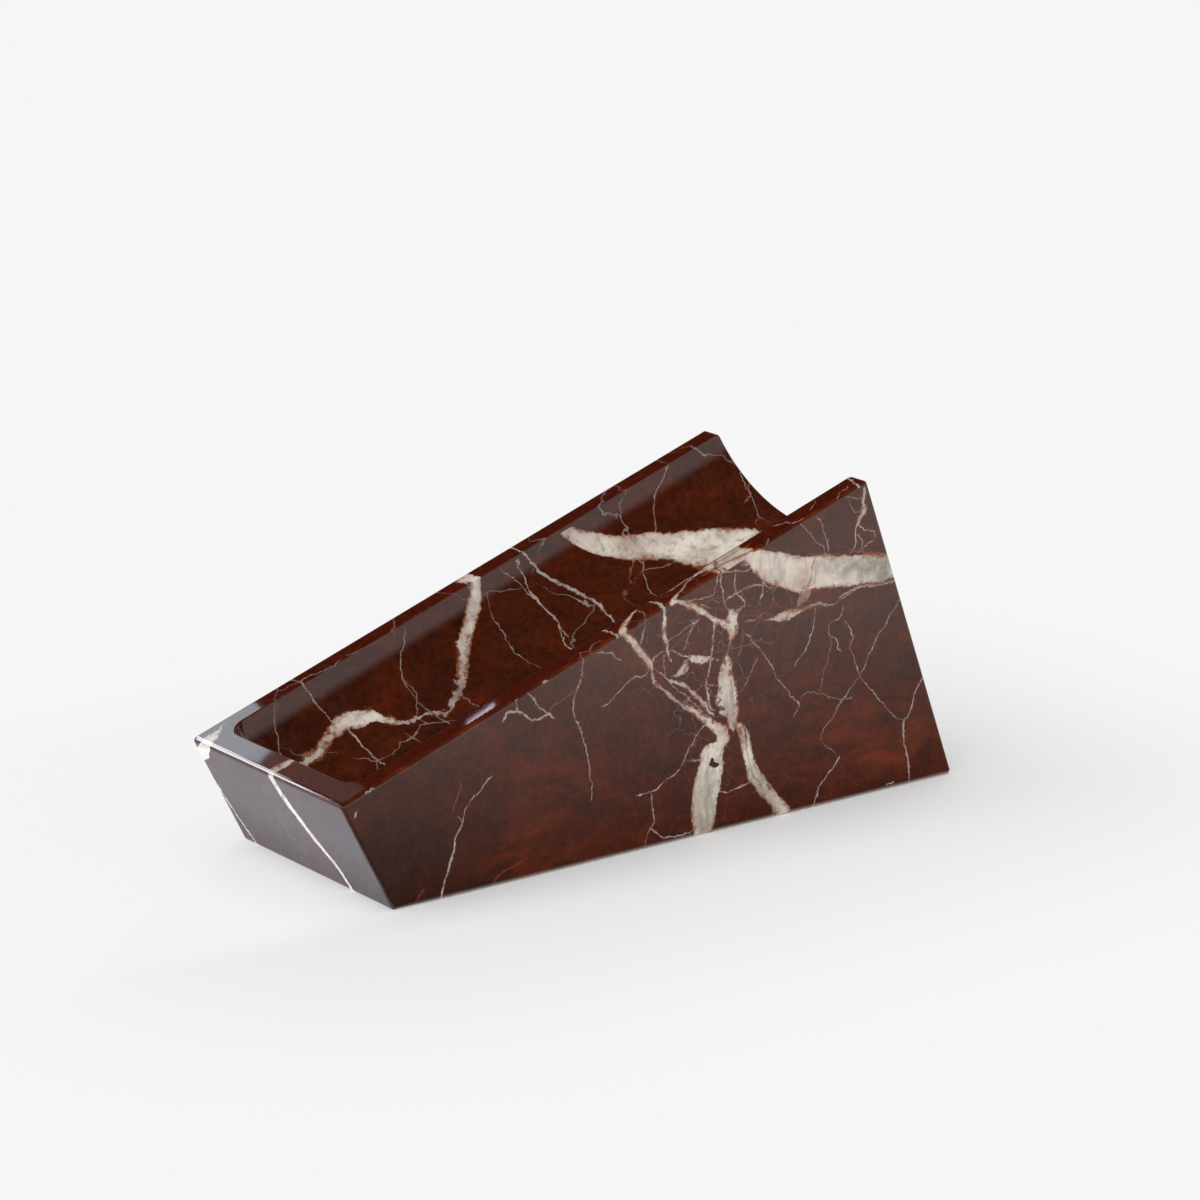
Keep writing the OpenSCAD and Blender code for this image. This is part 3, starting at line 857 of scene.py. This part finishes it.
for name in slotNames:
    kind = name.split()[0]
    stored = addNode(shade, "ShaderNodeAttribute", {"attribute_name": name})
    distance, halfThere, strengthThere = addNode(shade, "ShaderNodeSeparateXYZ", None, {
        0: stored.outputs["Vector"]}).outputs
    moved = addNode(shade, "ShaderNodeMath", {"operation": "ADD"}, {0: distance, 1: shift})
    moved = addNode(shade, "ShaderNodeMath", {"operation": "ABSOLUTE"}, {0: moved})
    wide = addNode(shade, "ShaderNodeMath", {"operation": "MULTIPLY"}, {0: halfThere, 1: share["swell"]})
    if kind == "cream":  # broad veins keep their width, fine ones come and go
        isBroad = addNode(shade, "ShaderNodeMapRange", None, {
            "Value": halfThere, "From Min": veinEdge["comesAndGoes"], "From Max": veinEdge["keepsWidth"]})
        wide = addNode(shade, "ShaderNodeMix", None, {"Factor": isBroad, "A": wide, "B": halfThere})
    if kind == "dark":
        wide = halfThere
    out = addNode(shade, "ShaderNodeMath", {"operation": "SUBTRACT"}, {0: moved, 1: wide})
    mask = addNode(shade, "ShaderNodeMapRange", {"interpolation_type": "SMOOTHSTEP"}, {
        "Value": out, "From Min": veinEdge["softness"], "From Max": -veinEdge["softness"]})
    mask = addNode(shade, "ShaderNodeMath", {"operation": "MULTIPLY"}, {0: mask, 1: strengthThere})
    if kind in veinMask:
        mask = addNode(shade, "ShaderNodeMath", {"operation": "MAXIMUM"}, {0: veinMask[kind], 1: mask})
        out = addNode(shade, "ShaderNodeMath", {"operation": "MINIMUM"}, {0: edgeOut[kind], 1: out})
    veinMask[kind], edgeOut[kind] = mask, out
    if kind == "cream":  # the same for the broad ones alone
        pushed = addNode(shade, "ShaderNodeMapRange", None, {
            "Value": halfThere, "From Min": veinEdge["tooFine"], "From Max": veinEdge["broad"],
            "To Min": veinEdge["setAside"], "To Max": 0.0})
        broadOut = addNode(shade, "ShaderNodeMath", {"operation": "SUBTRACT"}, {0: moved, 1: halfThere})
        broadOut = addNode(shade, "ShaderNodeMath", {"operation": "ADD"}, {0: broadOut, 1: pushed})
        edgeOut["broad"] = addNode(shade, "ShaderNodeMath", {"operation": "MINIMUM"}, {
            0: edgeOut.get("broad", veinEdge["setAside"]), 1: broadOut})

# Fine hairlines: some through the depth of the block, where no near vein runs, and a close web
# of them round the knot
hairBend = {"feature": 11, "detail": 5.0, "reach": 13}
hairEdge = {"out": 2.2, "in": 0.4}  # where a line fades out and is full, in its own thicknesses
parts = addNode(shade, "ShaderNodeSeparateXYZ", None, {0: place}).outputs
deep = 1.0
for way, start, full in (("Y", -38, -20), ("X", -108, -92)):
    inward = addNode(shade, "ShaderNodeMapRange", None, {
        "Value": parts[way], "From Min": start * mm, "From Max": full * mm})
    deep = addNode(shade, "ShaderNodeMath", {"operation": "MULTIPLY"}, {0: inward, 1: deep})
bent = addNode(shade, "ShaderNodeTexNoise", None, {
    "Vector": place, "Scale": perMetre(hairBend["feature"]), "Detail": hairBend["detail"]})
bent = addNode(shade, "ShaderNodeVectorMath", {"operation": "SCALE"}, {
    0: bent.outputs["Color"], "Scale": hairBend["reach"] * mm})
bent = addNode(shade, "ShaderNodeVectorMath", {"operation": "ADD"}, {0: place, 1: bent})
hairlines = 0.0
for cell, thickness, strength, where in ((40, 0.16, 0.6, deep), (9, 0.08, 0.4, field["webbed"])):
    line = addNode(shade, "ShaderNodeTexVoronoi", {"feature": "DISTANCE_TO_EDGE"}, {
        "Vector": bent, "Scale": perMetre(cell)})
    line = addNode(shade, "ShaderNodeMapRange", {"interpolation_type": "SMOOTHSTEP"}, {
        "Value": line, "From Min": hairEdge["out"] * thickness / cell,
        "From Max": hairEdge["in"] * thickness / cell, "To Max": strength})
    for part in (where, pattern["cloud"]):
        line = addNode(shade, "ShaderNodeMath", {"operation": "MULTIPLY"}, {0: line, 1: part})
    hairlines = addNode(shade, "ShaderNodeMath", {"operation": "MAXIMUM"}, {0: line, 1: hairlines})

# Distances and patterns turned to shares, smoothly or evenly. Each row has the value, then where
# its share begins and the share there, then where it ends and the share there
cracked = addNode(shade, "ShaderNodeMath", {"operation": "SUBTRACT"}, {0: pattern["cracks"], 1: 0.5})
cracked = addNode(shade, "ShaderNodeMath", {"operation": "ABSOLUTE"}, {0: cracked})
onEdge = addNode(shade, "ShaderNodeMath", {"operation": "ABSOLUTE"}, {0: edgeOut["broad"]})
flaky = addNode(shade, "ShaderNodeMath", {"operation": "MAXIMUM"}, {0: pattern["cloud"], 1: field["webbed"]})
rustier = addNode(shade, "ShaderNodeMath", {"operation": "MAXIMUM"}, {0: field["webbed"], 1: 0.35})
shareRows = {
    "margin": (edgeOut["cream"], 0.9, 0, 0.0, 0.75, "SMOOTHSTEP"),
    "cracked": (cracked, 0.014, 0, 0.003, 1, "SMOOTHSTEP"),
    "onEdge": (onEdge, 0.55, 0, 0.1, 0.7, "SMOOTHSTEP"),
    "flaked": (edgeOut["broad"], -2.2, 0, -1.0, 0.8, "LINEAR"),
    "streaked": (edgeOut["broad"], -0.5, 0, -2.2, 0.75, "LINEAR"),
    "fine": (edgeOut["broad"], -0.4, 0, 0.4, 0.8, "LINEAR"),
    "thin": (edgeOut["cream"], -1.2, 0, -0.2, 1, "LINEAR"),
    "notRust": (veinMask["rust"], 0, 1, 1, 0.25, "LINEAR"),
    "unsheened": (field["sheened"], 0, 1, 1, 0, "LINEAR"),
}
for name, (value, start, first, end, last, way) in shareRows.items():
    share[name] = addNode(shade, "ShaderNodeMapRange", {"interpolation_type": way}, {
        "Value": value, "From Min": start, "From Max": end, "To Min": first, "To Max": last})

# How much of each thing there is at a point: the product of its row
productRows = {
    "reddened": (pattern["smears"], 0.75),
    "veiled": (pattern["patch"], pattern["zone"], 0.35),
    "rimDarkReflected": (field["rimDarkReflection"], 0.6),
    "sheened": (pattern["cloud"], pattern["mottle"], field["sheened"], 0.15),
    "tone": (share["mottle"], share["grain"]),
    "rustAndEdgeHighlight": (field["rustAndEdgeHighlight"], share["smears"]),
    "margin": (share["margin"], pattern["cloud"], rustier),
    "cracked": (share["cracked"], pattern["patch"]),
    "flaked": (pattern["flakes"], share["flaked"], flaky),
    "pink": (pattern["cloud"], share["unsheened"]),
    "clouded": (field["clouded"], pattern["wisps"]),
    "streaked": (pattern["streaks"], share["streaked"]),
    "fine": (share["fine"], share["unsheened"]),
    "edged": (share["onEdge"], pattern["cloud"], share["unsheened"]),
}
product = {}
for name, (first, *others) in productRows.items():
    for other in others:
        first = addNode(shade, "ShaderNodeMath", {"operation": "MULTIPLY"}, {0: first, 1: other})
    product[name] = first

# Red stone: zones, drawn-out clouds, mottling and grain, painted shade at the foot of the low end,
# a painted dark reflection on the rims and a painted sheen on the low end, then rust in soft places
# and along veins, and rust as a painted highlight on the near top edge
darkLook = {"cloud": 0.55, "most": 0.9}
darkerAndShaded = addNode(shade, "ShaderNodeMath", {"operation": "MULTIPLY_ADD"}, {
    0: pattern["cloud"], 1: darkLook["cloud"], 2: field["dark"]})
darkerAndShaded = addNode(shade, "ShaderNodeMath", {"operation": "MINIMUM"}, {0: darkerAndShaded, 1: darkLook["most"]})
stone = colours["mid"]
for part, colour in (
        (product["reddened"], "red"), (darkerAndShaded, "dark"), (product["veiled"], "veil"),
        (product["rimDarkReflected"], "rimDarkReflection"), (product["sheened"], "sheenGrey")):
    stone = addNode(shade, "ShaderNodeMix", {"data_type": "RGBA"}, {
        "Factor": part, "A": stone, "B": colours[colour]})
stone = addNode(shade, "ShaderNodeVectorMath", {"operation": "SCALE"}, {0: stone, "Scale": product["tone"]})
rustAndEdgeHighlight = product["rustAndEdgeHighlight"]
for part in (product["margin"], veinMask["rust"]):
    rustAndEdgeHighlight = addNode(shade, "ShaderNodeMath", {"operation": "MAXIMUM"}, {0: rustAndEdgeHighlight, 1: part})
stone = addNode(shade, "ShaderNodeMix", {"data_type": "RGBA"}, {
    "Factor": rustAndEdgeHighlight, "A": stone, "B": colours["rust"]})

# Cream calcite: rust and stone show through its cracks, and it is pinker and greyer in places
thin = addNode(shade, "ShaderNodeMath", {"operation": "SUBTRACT"}, {0: share["thin"], 1: field["sheened"]})
thinned = addNode(shade, "ShaderNodeMix", None, {"Factor": thin, "A": 1.0, "B": share["gaps"]})
whole = addNode(shade, "ShaderNodeMath", {"operation": "SUBTRACT"}, {0: 1.0, 1: product["flaked"]})
kept = addNode(shade, "ShaderNodeMapRange", None, {
    "Value": product["cracked"], "To Min": 1.0, "To Max": 0.35})
for part in (veinMask["cream"], whole, share["notRust"], thinned):
    kept = addNode(shade, "ShaderNodeMath", {"operation": "MULTIPLY"}, {0: kept, 1: part})
creamMask = addNode(shade, "ShaderNodeMath", {"operation": "MAXIMUM"}, {0: kept, 1: hairlines})
calcite = colours["cream"]
for part, colour in (
        (product["pink"], "pink"), (product["clouded"], "cloudy"), (product["streaked"], "grey"),
        (product["fine"], "fine")):
    calcite = addNode(shade, "ShaderNodeMix", {"data_type": "RGBA"}, {
        "Factor": part, "A": calcite, "B": colours[colour]})
coloured = stone
for part, colour in (
        (creamMask, calcite), (product["edged"], colours["amber"]), (veinMask["dark"], colours["hole"])):
    coloured = addNode(shade, "ShaderNodeMix", {"data_type": "RGBA"}, {
        "Factor": part, "A": coloured, "B": colour})

# The polish
rough = addNode(shade, "ShaderNodeMapRange", None, {
    "Value": creamMask, "To Min": marblePolish["stone"], "To Max": marblePolish["vein"]})
relief = addNode(shade, "ShaderNodeMath", {"operation": "MULTIPLY"}, {0: creamMask, 1: pattern["mottle"]})
relief = addNode(shade, "ShaderNodeBump", None, {
    "Strength": marblePolish["reliefShare"], "Distance": marblePolish["relief"], "Height": relief})
surface = addNode(shade, "ShaderNodeBsdfPrincipled", None, {
    "Base Color": coloured, "Roughness": rough, "IOR": marblePolish["ior"], "Normal": relief})
addNode(shade, "ShaderNodeOutputMaterial", None, {"Surface": surface})
print("marble mixed")

block = bpy.data.objects.new("marble_wedge", blockMesh)
blockMesh.materials.clear()
blockMesh.materials.append(marble)
collection.objects.link(block)
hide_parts("marble_block")
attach(block, "root")

# A wide white floor
stageLook = {
    "floor": "#f7f7f7",
    "floorHalf": 12,  # metres from the middle to each side
    "background": "#f6f6f6",
}
reach = stageLook["floorHalf"]
floorMesh = bpy.data.meshes.new("floor")
corners = [(-reach, -reach, 0), (reach, -reach, 0), (reach, reach, 0), (-reach, reach, 0)]
floorMesh.from_pydata(corners, [], [(0, 1, 2, 3)])
floor = bpy.data.objects.new("floor", floorMesh)
collection.objects.link(floor)

# Matt white paint. It takes the block's shadow, and turns to the backdrop's even white away from
# the block; in front of the low end and on the lit side that white is painted light that lifts the
# shadow. In the polish it is a painted glow, dim close in front and bright behind at the left.
# Places are metres from the middle of the block. The shares of even white have where they begin,
# where they are full, and how much that is.
floorLook = {
    "foot": (0.122, 0.046, 0),  # half the block's length and width on the floor
    "shadowTo": 0.18,  # metres from the block at which the shadow is gone
    # painted light: these shares lift the block's shadow in front of the low end and on the lit side
    "left": (-0.085, -0.125, 0.74),  # even white in front of the low end
    "corner": (-0.064, -0.034, 1),  # that one again, from the near corner inwards
    "litWay": (-0.6, 0.8, 0.0),
    "lit": (0.07, 0.11, 0.82),  # even white on the lit side
    "frontDim": 0.08, "frontFar": 0.193,  # what the polish sees in front, and how far out it is bright
    "aside": 0.92,  # what it sees at the other sides
    "frontColour": "#fffaf6",
    "leftEdge": -0.111, "nearEdge": -0.048,  # the part behind at the left begins here
    "behindFrom": -0.112, "behindTo": -0.124,
    "behindLow": 0.68, "behindHigh": 1.08,  # what it sees there, from the block's foot outwards
    "behindColour": "#f5f6ff",
    # painted light: the floor there glows at this strength for diffuse rays and so lights the low end
    "paintedBounce": 2.2,  # light that the floor there throws up on the low end
}
look = floorLook
paint = bpy.data.materials.new("matt white paint")
paint.use_nodes = True
painted = paint.node_tree
painted.nodes.clear()
spot = addNode(painted, "ShaderNodeTexCoord").outputs["Object"]
spotParts = addNode(painted, "ShaderNodeSeparateXYZ", None, {0: spot}).outputs
gap = spot
for operation, other in (
        ("ABSOLUTE", (0, 0, 0)), ("SUBTRACT", look["foot"]), ("MAXIMUM", (0, 0, 0)), ("LENGTH", (0, 0, 0))):
    gap = addNode(painted, "ShaderNodeVectorMath", {"operation": operation}, {0: gap, 1: other})
lit = addNode(painted, "ShaderNodeVectorMath", {"operation": "DOT_PRODUCT"}, {0: spot, 1: look["litWay"]})
floorShares = {  # the value, where the share begins and where it is full, and the full share
    "even": (gap, 0, look["shadowTo"], 1),
    "lit": (lit, *look["lit"]),
    "left": (spotParts["X"], *look["left"]),
    "corner": (spotParts["Y"], *look["corner"]),
}
floorShare = {
    name: addNode(painted, "ShaderNodeMapRange", {"interpolation_type": "SMOOTHSTEP"}, {
        "Value": value, "From Min": start, "From Max": end, "To Max": full})
    for name, (value, start, end, full) in floorShares.items()
}
# painted light: the block's shadow lifted in front of the low end and on the lit side
evenShare = addNode(painted, "ShaderNodeMath", {"operation": "MULTIPLY"}, {
    0: floorShare["left"], 1: floorShare["corner"]})
for name in ("lit", "even"):
    evenShare = addNode(painted, "ShaderNodeMath", {"operation": "MAXIMUM"}, {
        0: floorShare[name], 1: evenShare})

# What the polish sees of the floor, a painted glow: its two parts, and their brightness and tint
inFront = addNode(painted, "ShaderNodeMapRange", None, {
    "Value": spotParts["Y"], "From Min": -look["foot"][1], "From Max": -look["foot"][1] - look["frontFar"],
    "To Min": look["frontDim"], "To Max": 1.0})
atLeft = addNode(painted, "ShaderNodeMapRange", None, {
    "Value": spotParts["X"], "From Min": look["behindFrom"], "From Max": look["behindTo"],
    "To Min": look["behindLow"], "To Max": look["behindHigh"]})
isLeft = addNode(painted, "ShaderNodeMath", {"operation": "LESS_THAN"}, {
    0: spotParts["X"], 1: look["leftEdge"]})
isBehind = addNode(painted, "ShaderNodeMath", {"operation": "GREATER_THAN"}, {
    0: spotParts["Y"], 1: look["nearEdge"]})
both = addNode(painted, "ShaderNodeMath", {"operation": "MULTIPLY"}, {0: isLeft, 1: isBehind})
shown = addNode(painted, "ShaderNodeMix", None, {"Factor": isBehind, "A": inFront, "B": look["aside"]})
shown = addNode(painted, "ShaderNodeMix", None, {"Factor": both, "A": shown, "B": atLeft})
tinted = addNode(painted, "ShaderNodeMix", {"data_type": "RGBA"}, {
    "Factor": both, "A": linear(look["frontColour"]), "B": linear(look["behindColour"])})

# The paint itself, then what takes its place for each kind of ray: a painted glow for diffuse rays
# behind at the left, and a painted glow for glossy rays
rays = addNode(painted, "ShaderNodeLightPath").outputs
matt = addNode(painted, "ShaderNodeBsdfPrincipled", None, {
    "Base Color": linear(stageLook["floor"]), "Roughness": 1.0, "Specular IOR Level": 0.0})
even = addNode(painted, "ShaderNodeEmission", None, {"Color": linear(stageLook["background"])})
paintedBounceGlow = addNode(painted, "ShaderNodeEmission", None, {
    "Color": linear(look["behindColour"]), "Strength": look["paintedBounce"]})
mirrored = addNode(painted, "ShaderNodeEmission", None, {"Color": tinted, "Strength": shown})
isPaintedBounceRay = addNode(painted, "ShaderNodeMath", {"operation": "MULTIPLY"}, {0: both, 1: rays["Is Diffuse Ray"]})
viewed = addNode(painted, "ShaderNodeMixShader", None, {0: evenShare, 1: matt, 2: even})
surface = matt
for isRay, other in ((isPaintedBounceRay, paintedBounceGlow), (rays["Is Camera Ray"], viewed), (rays["Is Glossy Ray"], mirrored)):
    surface = addNode(painted, "ShaderNodeMixShader", None, {0: isRay, 1: surface, 2: other})
addNode(painted, "ShaderNodeOutputMaterial", None, {"Surface": surface})
floorMesh.materials.append(paint)

# One softbox overhead, and lamps whose reflections the polish shows where the photo has them
softboxes = {  # middle, the point it faces, width and height in metres, roll, radiance, colour, what it gives
    "overhead": ((-0.2, -0.3, 1.9), (-0.2, -0.3, 0), 2.2, 2.2, 0, 1.3, "#ffffff", "light"),
    "behind left": ((-0.135, 0.54, 0.235), (-0.135, 0, 0.235), 0.33, 0.35, 0, 2.72, "#dff1ff", "shine"),
    "edge strip": ((-0.404, 0.56, 0.312), (-0.404, 0, 0.312), 0.3, 0.115, -45, 12.0, "#f6f7ff", "shine"),
    "edge window": ((-0.152, 0.56, 0.415), (-0.152, 0, 0.415), 0.27, 0.09, 0, 6.5, "#eef6ff", "shine"),
    "corner glow": ((0.0125, 0.54, 0.447), (0.0125, 0, 0.447), 0.065, 0.07, 0, 0.25, "#ffffff", "shine"),
    "small window": (
        (0.1206, 0.5556, 0.5004), (-0.0764, -0.042, 0.0595), 0.017, 0.0014, 0, 11.0, "#eeeaff", "shine"),
}
for name, (middle, target, width, height, roll, radiance, hexColour, gives) in softboxes.items():
    lamp = bpy.data.lights.new(name, "AREA")
    lamp.shape = "RECTANGLE"
    lamp.color = linear(hexColour)[:3]
    lamp.size = width
    lamp.size_y = height
    lamp.energy = radiance * math.pi * width * height
    box = bpy.data.objects.new(name, lamp)
    box.location = middle
    facing = (Vector(target) - Vector(middle)).to_track_quat("-Z", "Y")
    box.rotation_euler = (facing @ Quaternion((0, 0, 1), math.radians(roll))).to_euler()
    box.visible_camera = False
    box.visible_diffuse = gives == "light"
    box.visible_glossy = gives == "shine"
    collection.objects.link(box)

# Studio walls: bright up to head height, dimmer above behind the block, and the floor's own
# white wherever the camera looks past it
wallLook = {
    "bright": 0.92, "dimBehind": 0.03, "dimFront": 0.85, "dimInPolish": 0.01,
    "brightTo": 0.36, "dimFrom": 0.52,  # sines of the heights between which the walls dim
    "behind": (0.599, 0.801, 0.0), "turn": 0.2,  # the way to the wall behind, and how softly it begins
}
world = bpy.data.worlds.new("studio walls")
world.use_nodes = True
bpy.context.scene.world = world
walls = world.node_tree
walls.nodes.clear()
rays = addNode(walls, "ShaderNodeLightPath").outputs
direction = addNode(walls, "ShaderNodeTexCoord").outputs["Generated"]
rise = addNode(walls, "ShaderNodeSeparateXYZ", None, {0: direction}).outputs["Z"]
backwards = addNode(walls, "ShaderNodeVectorMath", {"operation": "DOT_PRODUCT"}, {
    0: direction, 1: wallLook["behind"]})
upper = addNode(walls, "ShaderNodeMapRange", None, {
    "Value": backwards.outputs["Value"], "From Min": -wallLook["turn"], "From Max": wallLook["turn"],
    "To Min": wallLook["dimFront"], "To Max": wallLook["dimBehind"]})
upper = addNode(walls, "ShaderNodeMix", None, {
    "Factor": rays["Is Glossy Ray"], "A": upper, "B": wallLook["dimInPolish"]})
glow = addNode(walls, "ShaderNodeMapRange", {"interpolation_type": "SMOOTHSTEP"}, {
    "Value": rise, "From Min": wallLook["brightTo"], "From Max": wallLook["dimFrom"],
    "To Min": wallLook["bright"], "To Max": upper})
seen = addNode(walls, "ShaderNodeBackground", None, {"Color": linear(stageLook["background"])})
lit = addNode(walls, "ShaderNodeBackground", None, {"Color": (1, 1, 1, 1), "Strength": glow})
sky = addNode(walls, "ShaderNodeMixShader", None, {0: rays["Is Camera Ray"], 1: lit, 2: seen})
addNode(walls, "ShaderNodeOutputWorld", None, {"Surface": sky})
bpy.context.scene.view_settings.view_transform = "Standard"
print("stage set")
